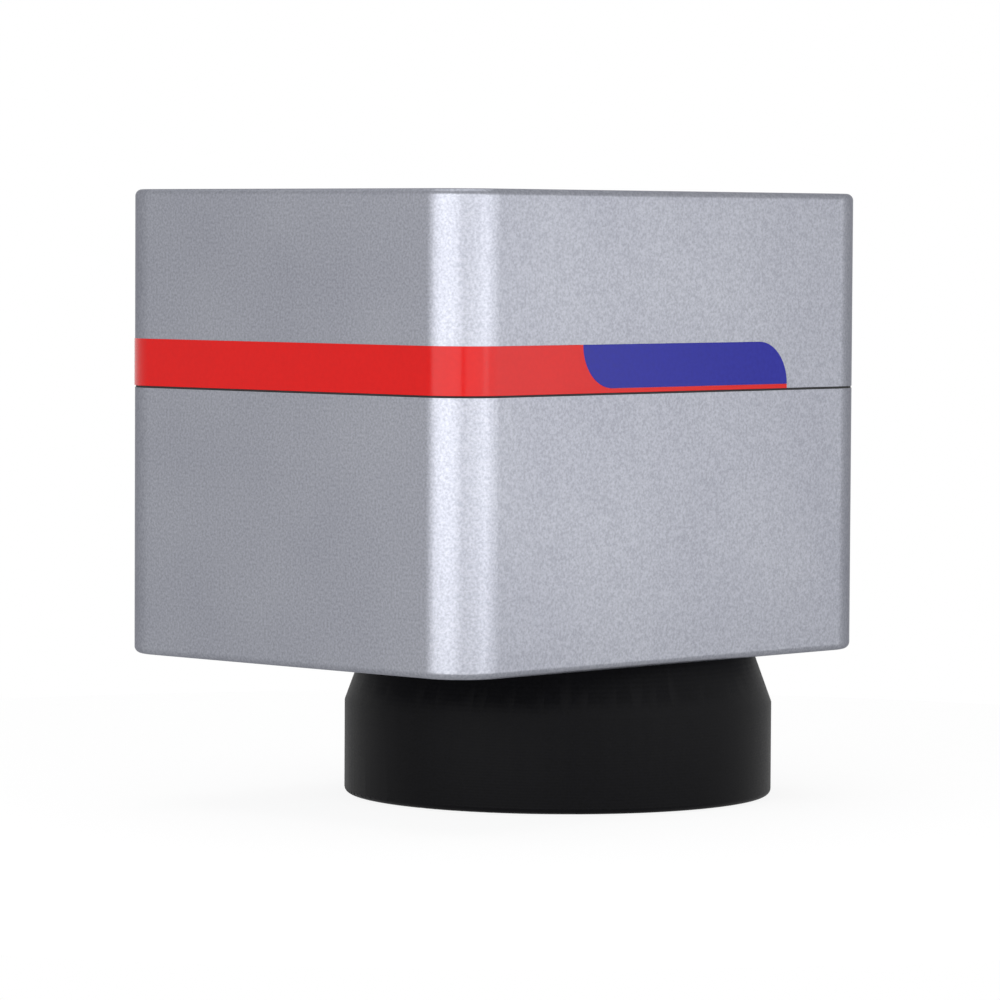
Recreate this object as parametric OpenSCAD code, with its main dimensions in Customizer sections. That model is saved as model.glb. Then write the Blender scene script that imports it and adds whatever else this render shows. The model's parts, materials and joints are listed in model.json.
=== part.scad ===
// Two-axis galvo scanner head with its scan lens.
// A laser beam enters through the back face along -X, meets the small upright mirror, then the larger
// lying mirror, and leaves downward through the lens.
// Origin: centre of the beam inlet on the back face. +X points out of the back face, +Z up, in mm.

/* [Housing] */
// Length of the head from its back face to its front
housing_l = 122; // [120:1:136]
// Width of the head across the incoming beam
housing_w = 98; // [96:1:112]
// Height of the lower housing
base_h = 54; // [53:0.5:62]
// Height of the cover
cover_h = 39.6; // [39:0.2:52]
// Radius of the upright corners
corner_r = 10; // [7:0.5:12]
// Radius of the rounded top and bottom edges
edge_r = 1.4; // [0.8:0.1:2]
// Wall thickness of the cover
cover_wall = 2.5; // [2:0.1:3.2]
// Wall thickness of the lower housing beside the deck
base_wall = 5; // [4.4:0.1:6]
// Width of the ledge that carries the deck
ledge_w = 6; // [5:0.25:7]
// Radius of the rear corners of the mirror chamber
chamber_r = 6; // [3:0.5:8]
// Thickness of the floor that holds the lens
floor_t = 9; // [8:0.25:10]
// Thickness of the gasket between housing and cover
gasket_t = 0.4; // [0.2:0.1:0.8]
// Distance of the gasket from the outer faces
gasket_inset = 0.8; // [0.4:0.1:1.2]

/* [Beam path] */
// Depth of the beam below the rim of the lower housing
beam_depth = 19; // [18.5:0.25:21]
// Distance of the beam from the middle of the head, away from the label
beam_shift = 11.2; // [9:0.2:13]
// Distance from the back face to the lens axis
lens_setback = 45; // [44:0.5:47]
// Distance between the turning axes of the two mirrors
mirror_offset = 14; // [13.5:0.25:16]
// Radius of the beam inlet
inlet_r = 6; // [5.2:0.1:6.4]
// Outer radius of the flange of the inlet ring
inlet_flange_r = 11; // [10:0.5:12.5]
// Thickness of the flange of the inlet ring
inlet_flange_t = 4; // [3:0.5:5]
// Wall of the snout of the inlet ring
inlet_snout_wall = 1; // [0.8:0.1:1.5]
// Length of the snout of the inlet ring
inlet_snout_l = 4; // [2:0.5:5]
// Thickness of the cord of the inlet O-ring
o_ring_d = 1.6; // [1.2:0.1:2]
// Mean radius of the inlet O-ring
o_ring_r = 8.6; // [8.2:0.1:9]

/* [Mounting holes] */
// Radius of the mounting threads in the back face
bolt_r = 2.1; // [1.65:0.05:2.5]
// Depth of the mounting threads
bolt_depth = 9; // [6:0.5:10]
// Distance of the mounting threads from the side faces
bolt_inset = 14; // [13:0.5:16]
// Distance of the lower mounting threads from the underside
bolt_low = 8; // [7:0.5:9]
// Distance of the upper mounting threads from the rim of the lower housing
bolt_high = 10; // [8:0.5:12]
// Radius of the dowel holes
dowel_r = 2; // [1.5:0.25:2.5]
// Depth of the dowel holes
dowel_depth = 8; // [5:0.5:9]
// Spacing of the dowel holes
dowel_span = 56; // [52:1:58]

/* [Lens] */
// Diameter of the lens thread
thread_d = 79; // [76:0.5:79]
// Length of the threaded neck of the lens
neck_l = 7.5; // [6:0.25:8]
// Diameter of the lens barrel
barrel_d = 88.4; // [86:0.2:90]
// Height of the lens barrel below the housing
barrel_h = 30.1; // [28.5:0.1:36]
// Height of the conical shoulder of the barrel
cone_h = 11; // [8:0.5:13]
// Diameter of the shoulder where it meets the housing
shoulder_d = 80.4; // [80.2:0.2:83]
// Radius of the rounded lower edge of the barrel
barrel_edge_r = 1.2; // [0.5:0.1:1.5]
// Radius of the opening in the top of the neck
entry_r = 21; // [18:0.5:22]
// Thickness of the lip that stops the top element
entry_lip = 1.5; // [1:0.1:2]
// Radius of the top lens element
top_glass_r = 24; // [23:0.5:25]
// Radius of the middle lens element
middle_glass_r = 30; // [29:0.5:31]
// Radius of the front lens element
front_glass_r = 35; // [34:0.5:36]
// Radius of the protective window
window_r = 39; // [38:0.5:40]
// Thickness of the protective window
window_t = 3; // [2:0.25:3.5]
// Thickness of the threaded ring under the window
window_ring_t = 2.2; // [1.5:0.1:2.6]
// Width of the threaded ring under the window
window_ring_w = 3.4; // [2.5:0.1:4]
// Depth of that ring inside the rim of the barrel
rim_recess = 0.6; // [0.3:0.1:1]

/* [Scanners] */
// Radius of the case of each scanner
case_r = 12; // [11.6:0.1:12.4]
// Length of the case of each scanner
case_l = 26.5; // [25:0.5:27]
// Thickness of the front wall of the case
case_front_t = 3; // [2.5:0.1:3.5]
// Wall thickness of the case
case_wall = 2.5; // [1.8:0.1:2.8]
// Length of the rear cap of each scanner
cap_l = 10; // [9.5:0.25:10.5]
// Wall thickness of the rear cap
cap_wall = 1.6; // [1.2:0.1:2.2]
// Radius of the rotor shafts
shaft_r = 2; // [1.6:0.1:2.4]
// Outer radius of the ball bearings
bearing_r = 4.5; // [4:0.1:5]
// Width of the ball bearings
bearing_w = 2.5; // [2:0.1:2.5]
// Radius of the rotor magnet
magnet_r = 5.6; // [5:0.1:5.8]
// Length of the rotor magnet
magnet_l = 16; // [14:0.5:17]
// Radial gap between magnet and coil
magnet_gap = 0.6; // [0.4:0.05:0.8]
// Length of the coil
coil_l = 19; // [17:0.5:20]
// Distance from the axis of the small mirror's beam to the front of its scanner
x_reach = 15.5; // [15:0.25:16]
// Distance from the lens axis to the front of the large mirror's scanner
y_reach = 21; // [20:0.5:22]
// Width of both mirrors across their turning axes
mirror_w = 14.4; // [13:0.2:14.6]
// Thickness of both mirrors
mirror_t = 1.5; // [1:0.1:2]
// Length of the small mirror beyond the beam
x_mirror_end = 6.5; // [6:0.25:7]
// Length of the large mirror beyond the lens axis
y_mirror_end = 11; // [10:0.5:12]
// Corner cut of both mirrors
mirror_cut = 3; // [2:0.25:4]
// Radius of the mirror clamps
clamp_r = 4.2; // [4:0.1:4.6]
// Depth of the mirror in its clamp
mirror_grip = 2.4; // [2:0.1:2.8]
// Distance from the front of the scanner to the mirror's edge
mirror_standoff = 8; // [7.5:0.25:8.25]

/* [Scanner mount] */
// Thickness of the deck
deck_t = 6; // [5:0.25:6.5]
// Wall of the clamps around the scanners
grip_wall = 4; // [3.5:0.25:4.5]
// Length of the horizontal clamp
lying_grip_l = 22; // [18:0.5:24]
// Height of the upright clamp above the deck
upright_grip_h = 16; // [14:0.5:20]
// Depth of the lugs that close the clamps
lug_l = 8; // [7.5:0.25:8.5]
// Width of both lugs together
lug_w = 14; // [12:0.5:16]
// Distance of the deck screws from the front and back faces
deck_screw_inset = 20; // [18:0.5:24]
// Width of the slits in the clamps
slit_w = 1.5; // [1:0.1:2]
// Radius of the cable opening in the deck
cable_hole_r = 5; // [4:0.5:6]

/* [Screws] */
// Radius of the screw shanks
screw_r = 1.5; // [1.25:0.05:1.5]
// Radius of the screw heads
head_r = 2.75; // [2.5:0.05:2.8]
// Height of the screw heads
head_h = 3; // [2.5:0.1:3]
// Across-flats size of the sockets in the screw heads
socket_af = 2.5; // [2:0.1:2.5]
// Distance of the cover screws from the outer faces
screw_inset = 8; // [7.6:0.1:9]
// Radius of the posts around the cover screws
post_r = 4.6; // [4.4:0.1:5]
// Length of thread in use under each screw
thread_grip = 9; // [7:0.5:10]

/* [Label] */
// Height of the coloured band on the cover
band_h = 9.5; // [8:0.5:12]
// Thickness of the band and of the tab
label_t = 0.25; // [0.2:0.05:0.3]
// Distance from the front of the head to the end of the band
band_end = 94.8; // [90:0.2:100]
// Distance from the front of the head to the start of the tab
tab_start = 33.5; // [28:0.5:38]
// Height of the strip of the band that runs under the tab
under_band = 0.9; // [0.6:0.1:1.5]

/* [Electronics] */
// Distance from the back face to the driver boards
board_rear = 20; // [19:0.5:24]
// Height of each driver board
board_h = 30; // [28:0.5:31]
// Thickness of the circuit boards
board_t = 1.6; // [1:0.1:1.8]
// Distance of the driver boards from the side walls of the lower housing
board_inset = 7; // [6:0.25:8]
// Height of the driver boards above the deck
board_lift = 3; // [2.5:0.25:4]
// Distance from the front wall to the driver boards
board_front = 9; // [8:0.5:12]
// Distance of the interface board from the back face
interface_x = 13; // [12.5:0.25:13.5]

/* [Connectors] */
// Height of the signal connector above the rim of the lower housing
signal_height = 12; // [9:0.5:12]
// Distance from the power connector's nut to the top wall of the cover
power_drop = 0.6; // [0.5:0.1:1]
// Clearance between the connectors and the corner posts
port_gap = 0.8; // [0.5:0.1:1.5]
// Pitch of the signal pins in a row
pin_pitch = 2.76; // [2.7:0.01:2.8]
// Distance between the two rows of signal pins
row_pitch = 2.84; // [2.7:0.02:2.9]
// Radius of the signal pins
signal_pin_r = 0.5; // [0.4:0.05:0.55]
// Distance between the jackposts
jackpost_span = 47.04; // [46.6:0.02:47.4]
// Outer radius of the power connector
power_r = 6; // [5.6:0.1:6.4]
// Radius of the power pins
power_pin_r = 0.6; // [0.5:0.05:0.75]

/* [Hidden] */

fit = 0.02;              // radial clearance of a seated or running fit
gap = 0.3;               // clearance between pieces that don't touch
eps = 0.01;              // overlap of two solids that are joined
over = 1;                // overshoot of a cutting solid
$fn = 96;

// Levels and planes of the housing
rim_z = beam_depth;
underside_z = rim_z - base_h;
cover_z = rim_z + gasket_t;
top_z = cover_z + cover_h;
floor_z = underside_z + floor_t;
deck_z = rim_z - deck_t;
front_x = -housing_l;
mid_y = -beam_shift;
side_y = mid_y - housing_w / 2;
far_y = mid_y + housing_w / 2;
lens_x = -lens_setback;
lens_y = -mirror_offset;

inner_corner_r = 2;

// Places of what repeats
corner_signs = [[-1, -1], [-1, 1], [1, -1], [1, 1]];
screw_inset_x = housing_l / 2 - screw_inset;
screw_inset_y = housing_w / 2 - screw_inset;
head_sink = 0.2;
head_seat_z = top_z - head_h - head_sink;
deck_screw_x = housing_l / 2 - deck_screw_inset;
deck_screw_y = housing_w / 2 - base_wall - ledge_w / 2 - gap / 2;
grip_setback = 4;
lying_grip_x = lens_x - y_reach - grip_setback - lying_grip_l;
clamp_screw_edge = 0.6;
clamp_screw_out = case_r + lug_l - head_r - clamp_screw_edge;
cable_hole_back = 12;
screw_end = 1;

// Inside of the scanners, measured from the front of the case along the shaft
coil_start = case_front_t + 1;
magnet_start = coil_start + (coil_l - magnet_l) / 2;
cap_plate_t = bearing_w + 0.5;
shaft_tail = 0.2;
encoder_gap = 2;
encoder_a = case_l + cap_plate_t + encoder_gap;
encoder_t = 0.6;
blade_hub_t = 1.4;
blade_hub_wall = 1.4;
blade_r = 7.6;
blade_rise = 0.75;
shaft_end_a = encoder_a + blade_hub_t + shaft_tail;
encoder_board_t = 1.4;
mirror_foot_cut = 1;
clamp_clear = 1.2;
clamp_front_a = -mirror_standoff - mirror_grip;
clamp_rear_a = -clamp_clear;
shaft_front_a = -mirror_standoff + clamp_clear;

// Levels of the lens, measured from the seat of its shoulder
lens_rim_z = underside_z - barrel_h;
neck_z = underside_z + neck_l;
window_ring_z = lens_rim_z + rim_recess;
window_z = window_ring_z + window_ring_t;
window_top_z = window_z + window_t;
retainer_t = 2;
lens_seat_w = 3.5;
window_gap = 1.2;
retainer_z = window_top_z + window_gap;
front_rim_t = 5;
middle_rim_t = 5;
top_rim_t = 4;
top_sags = [-1.6, -1.2];
middle_sags = [0.8, -1.8];
front_sags = [0.8, -1.4];
key_slot_w = 2;
key_slot_depth = 1;
top_glass_z = neck_z - entry_lip - top_rim_t;
spacer_wall = 3;
front_glass_z = retainer_z + retainer_t;
front_top_z = front_glass_z + front_rim_t;
middle_glass_z = (front_top_z + top_glass_z - middle_rim_t) / 2;
middle_top_z = middle_glass_z + middle_rim_t;

// Connectors
d_shell_w = 39;
d_shell_h = 8.4;
d_shell_t = 0.5;
d_angle = 10;
d_corner_r = 2.6;
d_corner_steps = 6;
d_flange_t = 1;
d_face_t = 1.5;
d_body_wall = 1;
d_flange_w = 53;
d_flange_h = 12.5;
d_shell_out = 3.4;
insert_depth = 7.5;
signal_pin_recess = 1;
upper_pins = 13;
lower_pins = 12;
power_pin_circle = 2.5;
power_pins_n = 4;
power_out = 8;
power_flange_r = 8.2;
power_flange_t = 1.6;
power_wall = 1.2;
power_nut_af = 16;
power_nut_t = 3;
power_pin_recess = 1.5;
power_insert_back = 3;
jackpost_l = 5;
jackpost_af = 4.75;
jackpost_stud = 2.5;
jackpost_hole_r = 1.2;
post_reach = screw_inset + post_r + port_gap;
signal_y = side_y + post_reach + d_flange_w / 2;
signal_z = rim_z + signal_height;
power_y = far_y - post_reach - power_nut_af / 2;
power_z = top_z - cover_wall - power_drop - power_nut_af / 2 / cos(30);

// Driver boards
board_x0 = front_x + base_wall + board_front;
board_l = housing_l - base_wall - board_front - board_rear;
board_z0 = rim_z + board_lift;
board_y_label = side_y + base_wall + board_inset;
board_y_far = far_y - base_wall - board_inset - board_t;
bracket_w = 8;
bracket_h = 13;
bracket_t = 1.5;
bracket_foot = 5;
bracket_inset = 12;
bracket_places = [bracket_inset, board_l - bracket_inset - bracket_w];

// Parts on each driver board: sizes along the board, off the board and in height, and places
amplifier = [10, 4.5, 15];
amplifier_x = [24, 37];
converter = [12, 1.6, 12];
converter_x = 51;
header = [10, 6, 5];
header_x = board_l - 14;
header_z = board_h - header[2] - 1;
chip_z = 11;
capacitor_r = 3.2;
capacitor_h = 7;
capacitor_x = [6, 15];
capacitor_z = board_h - 8;

SILVER = [0.70, 0.71, 0.74];
BLACK = [0.07, 0.07, 0.08];
STEEL = [0.62, 0.63, 0.65];

// ---- shapes that repeat ----

// Rounded rectangle about the middle of the housing
module rounded_plan(inset, radius) {
    w = housing_l - 2 * inset;
    h = housing_w - 2 * inset;
    translate([front_x / 2, mid_y]) {
        square([w - 2 * radius, h], center = true);
        square([w, h - 2 * radius], center = true);
        for (s = corner_signs)
            translate([s[0] * (w / 2 - radius), s[1] * (h / 2 - radius)]) circle(radius);
    }
}

// Inner plan of a shell: a rounded rectangle less the four corner posts
module cavity_plan(inset, post) {
    difference() {
        rounded_plan(inset, max(corner_r - inset, inner_corner_r));
        translate([front_x / 2, mid_y])
            for (s = corner_signs)
                translate([s[0] * screw_inset_x, s[1] * screw_inset_y]) {
                    circle(post);
                    corner_block(s, post);
                }
    }
}

// Plan of the mirror chamber: the ledge runs along both sides and the back, and the front is free
module chamber_plan() {
    x0 = front_x + base_wall;
    y0 = side_y + base_wall + ledge_w;
    w = housing_l - 2 * base_wall - ledge_w;
    h = housing_w - 2 * base_wall - 2 * ledge_w;
    intersection() {
        cavity_plan(base_wall, post_r);
        translate([x0, y0]) {
            square([w - chamber_r, h]);
            translate([0, chamber_r]) square([w, h - 2 * chamber_r]);
            for (y = [chamber_r, h - chamber_r]) translate([w - chamber_r, y]) circle(chamber_r);
        }
    }
}

// Two bars that join a corner post to both outer faces beside it
module corner_block(s, post) {
    reach = screw_inset;
    translate([s[0] > 0 ? 0 : -reach, -post]) square([reach, 2 * post]);
    translate([-post, s[1] > 0 ? 0 : -reach]) square([2 * post, reach]);
}

// Half profile with one rounded outer corner at its top
module edge_profile(half, height) {
    square([half, height - edge_r]);
    square([half - edge_r, height]);
    translate([half - edge_r, height - edge_r]) circle(edge_r);
}

// Closed block with the plan of the housing and a rounded upper edge, standing on z = 0
module rounded_block(height) {
    long_half = housing_l / 2 - corner_r;
    wide_half = housing_w / 2 - corner_r;
    translate([front_x / 2, mid_y, 0]) {
        for (turn = [0, 180]) {
            rotate([90, 0, turn])
                translate([0, 0, -wide_half])
                    linear_extrude(2 * wide_half) edge_profile(housing_l / 2, height);
            rotate([90, 0, 90 + turn])
                translate([0, 0, -long_half])
                    linear_extrude(2 * long_half) edge_profile(housing_w / 2, height);
        }
        for (s = corner_signs)
            translate([s[0] * long_half, s[1] * wide_half, 0])
                rotate_extrude() edge_profile(corner_r, height);
    }
}

// Cylinder along +X that starts at x0
module rod_x(x0, y, z, length, radius) {
    translate([x0, y, z]) rotate([0, 90, 0]) cylinder(h = length, r = radius);
}

module at_corners(dx, dy) {
    translate([front_x / 2, mid_y, 0])
        for (s = corner_signs) translate([s[0] * dx, s[1] * dy, 0]) children();
}

// Socket head screw with its head above z = 0 and its shank below
module socket_screw(shank) {
    difference() {
        union() {
            cylinder(h = head_h, r = head_r);
            translate([0, 0, -shank]) cylinder(h = shank + eps, r = screw_r);
        }
        translate([0, 0, head_h / 2])
            cylinder(h = head_h, r = socket_af / 2 / cos(30), $fn = 6);
    }
}

// Puts a scanner, drawn along +Z from the front of its case, in its place
module in_scanner(axis) {
    if (axis == "x")
        translate([lens_x, 0, x_reach]) children();
    else
        translate([lens_x - y_reach, lens_y, 0]) rotate([0, -90, 0]) children();
}

// ---- housing ----

module lower_housing() color(SILVER) difference() {
    translate([0, 0, rim_z]) mirror([0, 0, 1]) rounded_block(base_h);
    // Room beside the deck, then the mirror chamber under it
    translate([0, 0, deck_z])
        linear_extrude(base_h) cavity_plan(base_wall, post_r);
    translate([0, 0, floor_z]) linear_extrude(base_h) chamber_plan();
    // Lens thread
    translate([lens_x, lens_y, underside_z - over]) cylinder(h = floor_t + 2 * over, r = thread_d / 2 + fit);
    // Beam inlet
    rod_x(-base_wall - ledge_w - over, 0, 0, base_wall + ledge_w + 2 * over,
          inlet_r + inlet_snout_wall + fit);
    rod_x(-inlet_flange_t, 0, 0, inlet_flange_t + over, inlet_flange_r + fit);
    // Mounting threads and dowel holes in the back face
    for (y = [side_y + bolt_inset, far_y - bolt_inset], z = [underside_z + bolt_low, rim_z - bolt_high])
        rod_x(-bolt_depth, y, z, bolt_depth + over, bolt_r);
    for (s = [-1, 1])
        rod_x(-dowel_depth, mid_y + s * dowel_span / 2, 0, dowel_depth + over, dowel_r);
    // Threads for the cover and for the deck
    at_corners(screw_inset_x, screw_inset_y)
        translate([0, 0, rim_z - thread_grip - over]) cylinder(h = thread_grip + 2 * over, r = screw_r + fit);
    at_corners(deck_screw_x, deck_screw_y)
        translate([0, 0, deck_z - thread_grip]) cylinder(h = thread_grip + over, r = screw_r + fit);
}

module top_cover() color(SILVER) difference() {
    translate([0, 0, cover_z]) rounded_block(cover_h);
    translate([0, 0, cover_z - over])
        linear_extrude(cover_h - cover_wall + over) cavity_plan(cover_wall, post_r);
    at_corners(screw_inset_x, screw_inset_y) {
        translate([0, 0, cover_z - over]) cylinder(h = cover_h + 2 * over, r = screw_r + fit);
        translate([0, 0, head_seat_z]) cylinder(h = head_h + over, r = head_r + gap / 2);
    }
    // Openings for the two connectors
    translate([-cover_wall - over, signal_y, signal_z])
        d_prism(cover_wall + 2 * over, d_shell_w + 2 * fit, d_shell_h + 2 * fit, d_corner_r + fit);
    for (s = [-1, 1])
        rod_x(-cover_wall - over, signal_y + s * jackpost_span / 2, signal_z, cover_wall + 2 * over,
              screw_r + fit);
    rod_x(-cover_wall - over, power_y, power_z, cover_wall + 2 * over, power_r + fit);
}

module cover_gasket() color(BLACK)
    translate([0, 0, rim_z]) linear_extrude(gasket_t) difference() {
        rounded_plan(gasket_inset, corner_r - gasket_inset);
        rounded_plan(cover_wall, corner_r - cover_wall);
    }

module cover_screws() color(STEEL)
    at_corners(screw_inset_x, screw_inset_y)
        translate([0, 0, head_seat_z])
            socket_screw(head_seat_z - rim_z + thread_grip);

// Outline of the tab, seen on the labelled side: two opposite corners are quarter circles
module tab_outline(grow) {
    h = band_h - under_band;
    x0 = front_x + tab_start - grow;
    x1 = front_x + band_end + grow;
    z0 = cover_z + under_band - grow;
    r = h + grow;
    difference() {
        translate([x0, z0]) square([x1 - x0, r]);
        translate([x0 - eps, z0 - eps]) square([r + eps, r + 2 * eps]);
        translate([x1 - r, z0 - eps]) square([r + eps, r + 2 * eps]);
    }
    intersection() {
        translate([x0 + r, z0 + r]) circle(r);
        translate([x0, z0]) square([r + eps, r]);
    }
    intersection() {
        translate([x1 - r, z0]) circle(r);
        translate([x1 - r - eps, z0]) square([r + eps, r]);
    }
}

// Thin skin on the outside of the cover over the height of the band
module band_skin() {
    translate([0, 0, cover_z]) linear_extrude(band_h) difference() {
        rounded_plan(-label_t, corner_r + label_t);
        rounded_plan(0, corner_r);
    }
}

// A plate seen on the labelled side, drawn as X against Z, that reaches through the skin there
module side_plate() {
    translate([0, side_y + corner_r / 2, 0]) rotate([90, 0, 0]) linear_extrude(corner_r) children();
}

module side_stripe() color([0.85, 0.13, 0.11]) difference() {
    band_skin();
    // Ends at the far end of the front face and behind the end of the tab
    translate([front_x + corner_r, far_y - corner_r, cover_z - over])
        cube([housing_l, 2 * corner_r, band_h + 2 * over]);
    translate([front_x + band_end, side_y - corner_r, cover_z - over])
        cube([housing_l, housing_w + 2 * corner_r, band_h + 2 * over]);
    side_plate() tab_outline(fit);
    // Above the tab's round end the cover is bare
    side_plate() difference() {
        translate([front_x + band_end - band_h, cover_z + under_band]) square([band_h + over, band_h]);
        translate([front_x + band_end - band_h + under_band, cover_z + under_band])
            circle(band_h - under_band);
        translate([front_x + band_end - band_h - over, cover_z])
            square([under_band + over, band_h + 2 * over]);
    }
}

module label_tab() color([0.17, 0.17, 0.67])
    intersection() {
        band_skin();
        side_plate() tab_outline(0);
    }

// ---- beam inlet ----

module beam_inlet_ring() color(BLACK) difference() {
    union() {
        rod_x(-inlet_flange_t, 0, 0, inlet_flange_t, inlet_flange_r);
        rod_x(-inlet_flange_t - inlet_snout_l, 0, 0, inlet_snout_l + eps, inlet_r + inlet_snout_wall);
    }
    rod_x(-inlet_flange_t - inlet_snout_l - over, 0, 0, inlet_flange_t + inlet_snout_l + 2 * over, inlet_r);
    difference() {
        rod_x(-o_ring_d * 0.75, 0, 0, o_ring_d, o_ring_r + o_ring_d / 2 + fit);
        rod_x(-o_ring_d, 0, 0, 2 * o_ring_d, o_ring_r - o_ring_d / 2 - fit);
    }
}

module inlet_o_ring() color([0.12, 0.12, 0.12])
    translate([-o_ring_d / 4 + fit, 0, 0]) rotate([0, 90, 0])
        rotate_extrude() translate([o_ring_r, 0]) circle(o_ring_d / 2, $fn = 48);

// ---- scanner mount ----

// Deck with a split clamp under it for the lying scanner and one above it for the upright scanner
module scanner_mount() color([0.55, 0.56, 0.58]) {
    grip_r = case_r + grip_wall;
    lying_x = lying_grip_x;
    lug_z = -case_r - lug_l;
    difference() {
        union() {
            translate([0, 0, deck_z]) linear_extrude(deck_t) cavity_plan(base_wall + gap, post_r + gap);
            // Lying clamp, hung from the deck
            translate([lying_x, lens_y - grip_r, 0])
                cube([lying_grip_l, 2 * grip_r, deck_z + eps]);
            rod_x(lying_x, lens_y, 0, lying_grip_l, grip_r);
            translate([lying_x, lens_y - lug_w / 2, lug_z]) cube([lying_grip_l, lug_w, -lug_z]);
            // Upright clamp, standing on the deck
            translate([lens_x, 0, deck_z]) cylinder(h = deck_t + upright_grip_h, r = grip_r);
            translate([lens_x, -lug_w / 2, deck_z])
                cube([case_r + lug_l, lug_w, deck_t + upright_grip_h]);
        }
        translate([lens_x, 0, deck_z - over])
            cylinder(h = deck_t + upright_grip_h + 2 * over, r = case_r + fit);
        rod_x(lying_x - over, lens_y, 0, lying_grip_l + 2 * over, case_r + fit);
        // Slits and the holes of the clamp screws
        translate([lying_x - over, lens_y - slit_w / 2, lug_z - over])
            cube([lying_grip_l + 2 * over, slit_w, -lug_z]);
        translate([lens_x, -slit_w / 2, rim_z]) cube([case_r + lug_l + over, slit_w, upright_grip_h + over]);
        for (place = clamp_screw_places()) translate(place) rotate([90, 0, 0]) {
            cylinder(h = 2 * lug_w, r = screw_r + fit, center = true);
            translate([0, 0, lug_w / 2]) cylinder(h = lug_w, r = head_r + gap);
        }
        // Deck screws and the way through for the lying scanner's cable
        at_corners(deck_screw_x, deck_screw_y)
            translate([0, 0, deck_z - over]) cylinder(h = deck_t + 2 * over, r = screw_r + fit);
        translate([lying_x - cable_hole_back, lens_y, deck_z - over])
            cylinder(h = deck_t + 2 * over, r = cable_hole_r);
    }
}

function clamp_screw_places() = [
    [lying_grip_x + lying_grip_l / 2, lens_y, -clamp_screw_out],
    [lens_x + clamp_screw_out, 0, rim_z + upright_grip_h / 2]
];

module clamp_screws() color(STEEL)
    for (place = clamp_screw_places())
        translate(place) translate([0, -lug_w / 2, 0]) rotate([90, 0, 0]) socket_screw(lug_w);

module mount_screws() color(STEEL)
    at_corners(deck_screw_x, deck_screw_y)
        translate([0, 0, rim_z]) socket_screw(deck_t + thread_grip - screw_end);

// ---- scanners, drawn along +Z from the front of the case ----

module stator_case(axis) color([0.30, 0.31, 0.33]) in_scanner(axis) difference() {
    cylinder(h = case_l, r = case_r);
    translate([0, 0, case_front_t]) cylinder(h = case_l, r = case_r - case_wall);
    translate([0, 0, case_front_t - bearing_w]) cylinder(h = case_l, r = bearing_r + fit);
    translate([0, 0, -over]) cylinder(h = case_l, r = shaft_r + gap);
}

module coil(axis) color([0.72, 0.40, 0.18]) in_scanner(axis)
    translate([0, 0, coil_start]) difference() {
        cylinder(h = coil_l, r = case_r - case_wall - fit);
        translate([0, 0, -over]) cylinder(h = coil_l + 2 * over, r = magnet_r + magnet_gap);
    }

module bearings(axis) color(STEEL) in_scanner(axis)
    for (a = [case_front_t - bearing_w, case_l + cap_plate_t - bearing_w])
        translate([0, 0, a]) difference() {
            cylinder(h = bearing_w, r = bearing_r);
            translate([0, 0, -over]) cylinder(h = bearing_w + 2 * over, r = shaft_r + fit);
        }

// Cup behind the case: it carries the rear bearing and holds the encoder
module rear_cap(axis) color(BLACK) in_scanner(axis) translate([0, 0, case_l]) difference() {
    cylinder(h = cap_l, r = case_r);
    translate([0, 0, cap_plate_t]) cylinder(h = cap_l, r = case_r - cap_wall);
    translate([0, 0, cap_plate_t - bearing_w]) cylinder(h = cap_l, r = bearing_r + fit);
    translate([0, 0, -over]) cylinder(h = cap_l, r = shaft_r + gap);
}

module encoder_board(axis) color([0.10, 0.35, 0.18]) in_scanner(axis)
    translate([0, 0, case_l + cap_l - encoder_board_t])
        cylinder(h = encoder_board_t, r = case_r - cap_wall - fit);

module shaft(axis) color(STEEL) in_scanner(axis)
    translate([0, 0, shaft_front_a]) cylinder(h = shaft_end_a - shaft_front_a, r = shaft_r);

module magnet(axis) color([0.45, 0.45, 0.47]) in_scanner(axis)
    translate([0, 0, magnet_start]) difference() {
        cylinder(h = magnet_l, r = magnet_r);
        translate([0, 0, -over]) cylinder(h = magnet_l + 2 * over, r = shaft_r + fit);
    }

// Hub with two quarter wings that shade the encoder
module encoder_blade(axis) color([0.20, 0.20, 0.22]) in_scanner(axis)
    translate([0, 0, encoder_a]) difference() {
        union() {
            cylinder(h = blade_hub_t, r = shaft_r + blade_hub_wall);
            intersection() {
                cylinder(h = encoder_t, r = blade_r);
                for (turn = [0, 180]) rotate([0, 0, turn]) linear_extrude(encoder_t)
                    polygon([[0, 0], [2 * blade_r, -2 * blade_r * blade_rise],
                             [2 * blade_r, 2 * blade_r * blade_rise]]);
            }
        }
        translate([0, 0, -over]) cylinder(h = blade_hub_t + 2 * over, r = shaft_r + fit);
    }

// Direction of a mirror's face: the angle of its normal about the shaft
function mirror_turn(axis) = axis == "x" ? -45 : 135;

module mirror_clamp(axis) color([0.66, 0.67, 0.70]) in_scanner(axis) difference() {
    translate([0, 0, clamp_front_a]) cylinder(h = clamp_rear_a - clamp_front_a, r = clamp_r);
    translate([0, 0, shaft_front_a]) cylinder(h = clamp_rear_a - shaft_front_a + over, r = shaft_r + fit);
    rotate([0, 0, mirror_turn(axis)])
        translate([-mirror_t - fit, -clamp_r - over, clamp_front_a - over])
            cube([mirror_t + 2 * fit, 2 * clamp_r + 2 * over, mirror_grip + over + fit]);
}

// Plate whose bright face lies on the turning axis, with its far corners cut off
module scan_mirror(axis) color([0.85, 0.86, 0.88]) in_scanner(axis)
    rotate([0, 0, mirror_turn(axis)]) rotate([90, 0, -90]) linear_extrude(mirror_t)
        mirror_outline(axis == "x" ? x_reach + x_mirror_end : y_reach + y_mirror_end);

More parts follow.
